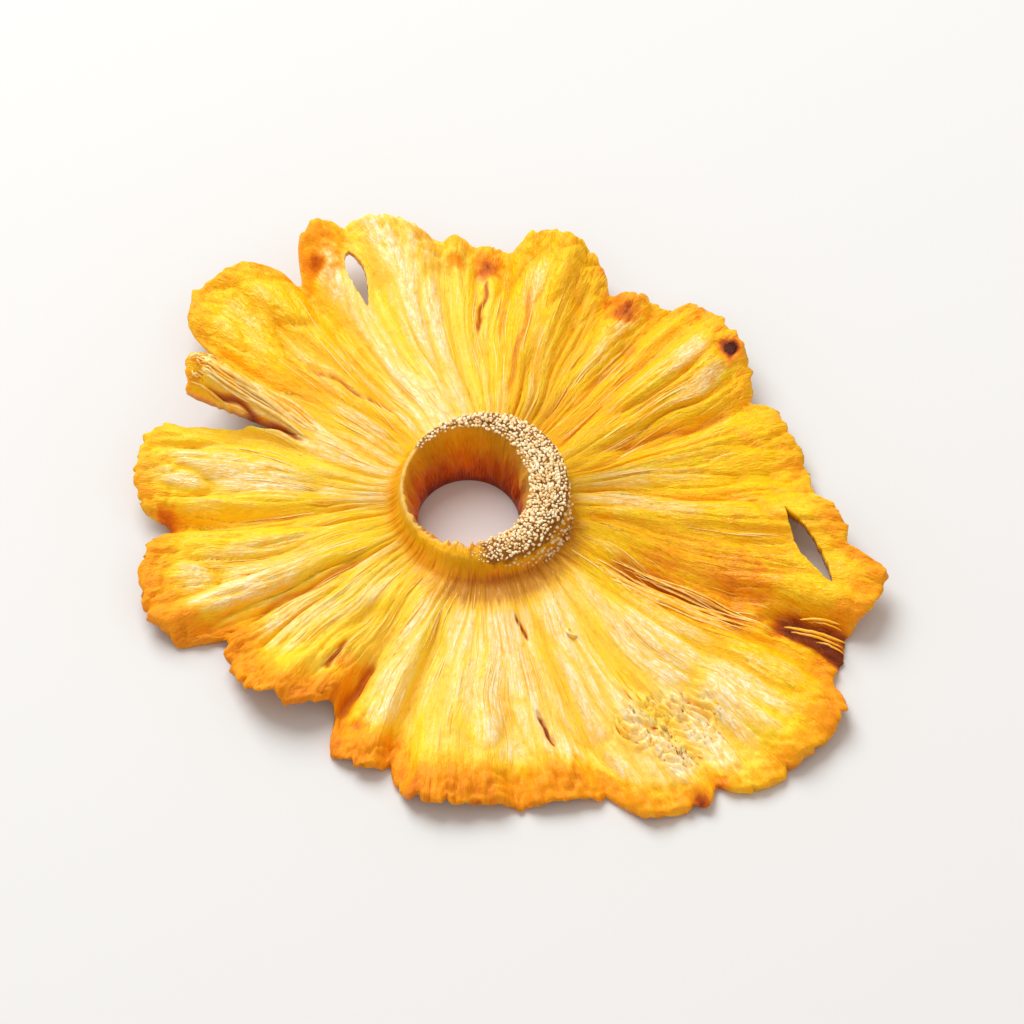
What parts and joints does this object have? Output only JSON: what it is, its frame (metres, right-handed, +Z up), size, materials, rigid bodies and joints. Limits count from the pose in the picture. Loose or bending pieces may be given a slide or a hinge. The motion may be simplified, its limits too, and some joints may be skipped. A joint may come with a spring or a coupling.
{
  "type": "dried pineapple ring",
  "caption": "Dried pineapple ring: a thin ruffled slice of yellow flesh round a raised fibrous collar with an open core hole.",
  "frame": {"origin": "centre of the slice's box, on the table that the slice lies on", "axes": "+Z up, along the core hole; +X towards the far tip of the longest petals"},
  "size_m": [0.0873, 0.0784, 0.011],
  "materials": {
    "dried_flesh": "semi-gloss, sugary"
  },
  "bodies": {
    "root": {"pineapple_ring": "dried_flesh"}
  },
  "joints": []
}
